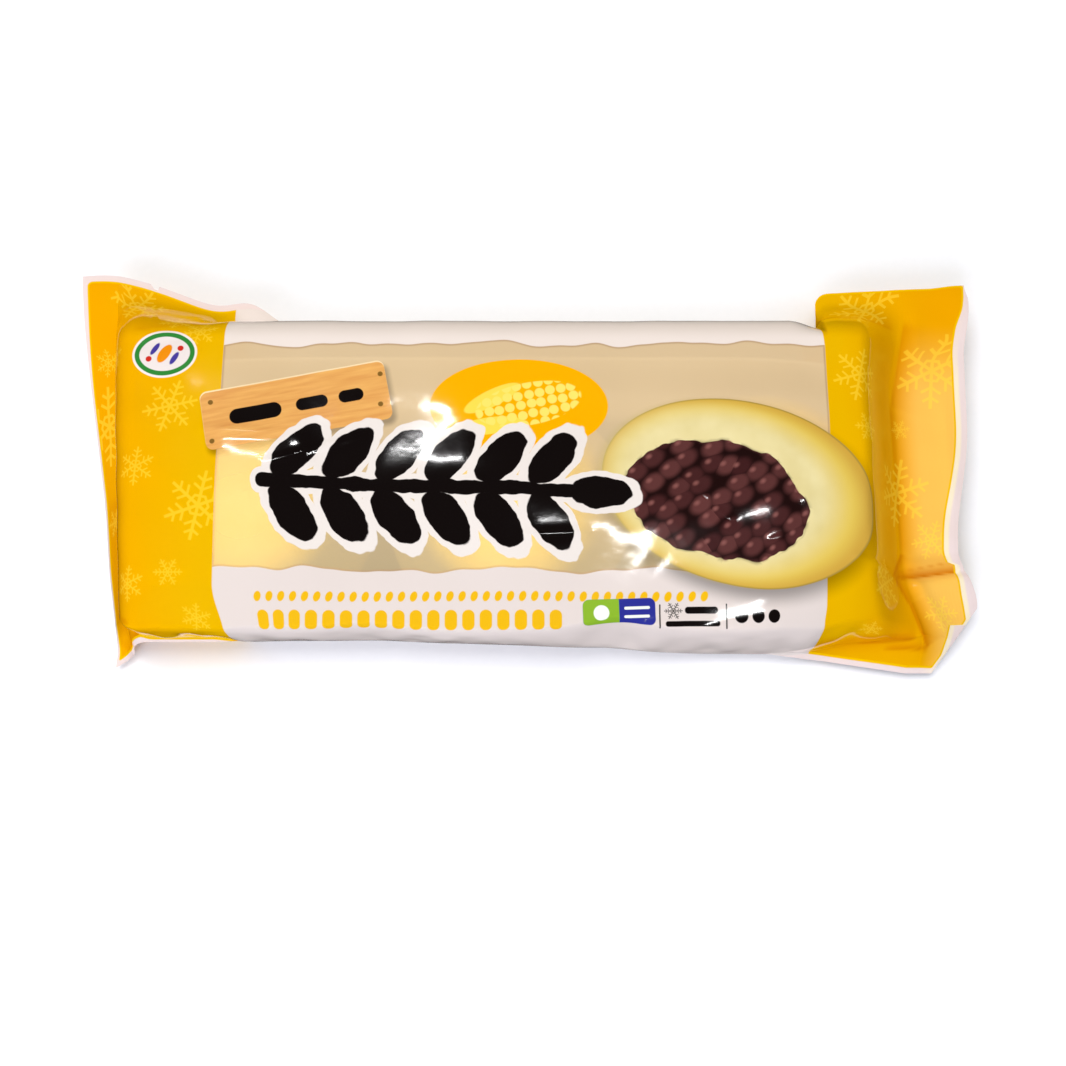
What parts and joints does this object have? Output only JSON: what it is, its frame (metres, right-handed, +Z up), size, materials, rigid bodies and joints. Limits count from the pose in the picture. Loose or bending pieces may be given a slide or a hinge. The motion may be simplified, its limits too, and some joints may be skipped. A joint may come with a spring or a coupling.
{
  "type": "sealed flow-wrapped pack of steamed buns",
  "caption": "Sealed pillow pack of frozen steamed buns lying flat, with a hazy window, crimped end fins and folded corner ears.",
  "frame": {"origin": "centre of the bounding box on the underside, where the pack rests", "axes": "+X along the pack towards the wider end fin, +Y towards the far long side of the printed front, +Z up out of the printed front"},
  "size_m": [0.2744, 0.1228, 0.0379],
  "materials": {
    "film": "glossy printed plastic film, yellow ends, white bands and a hazy clear window"
  },
  "bodies": {
    "root": {"pack": "film"}
  },
  "joints": []
}
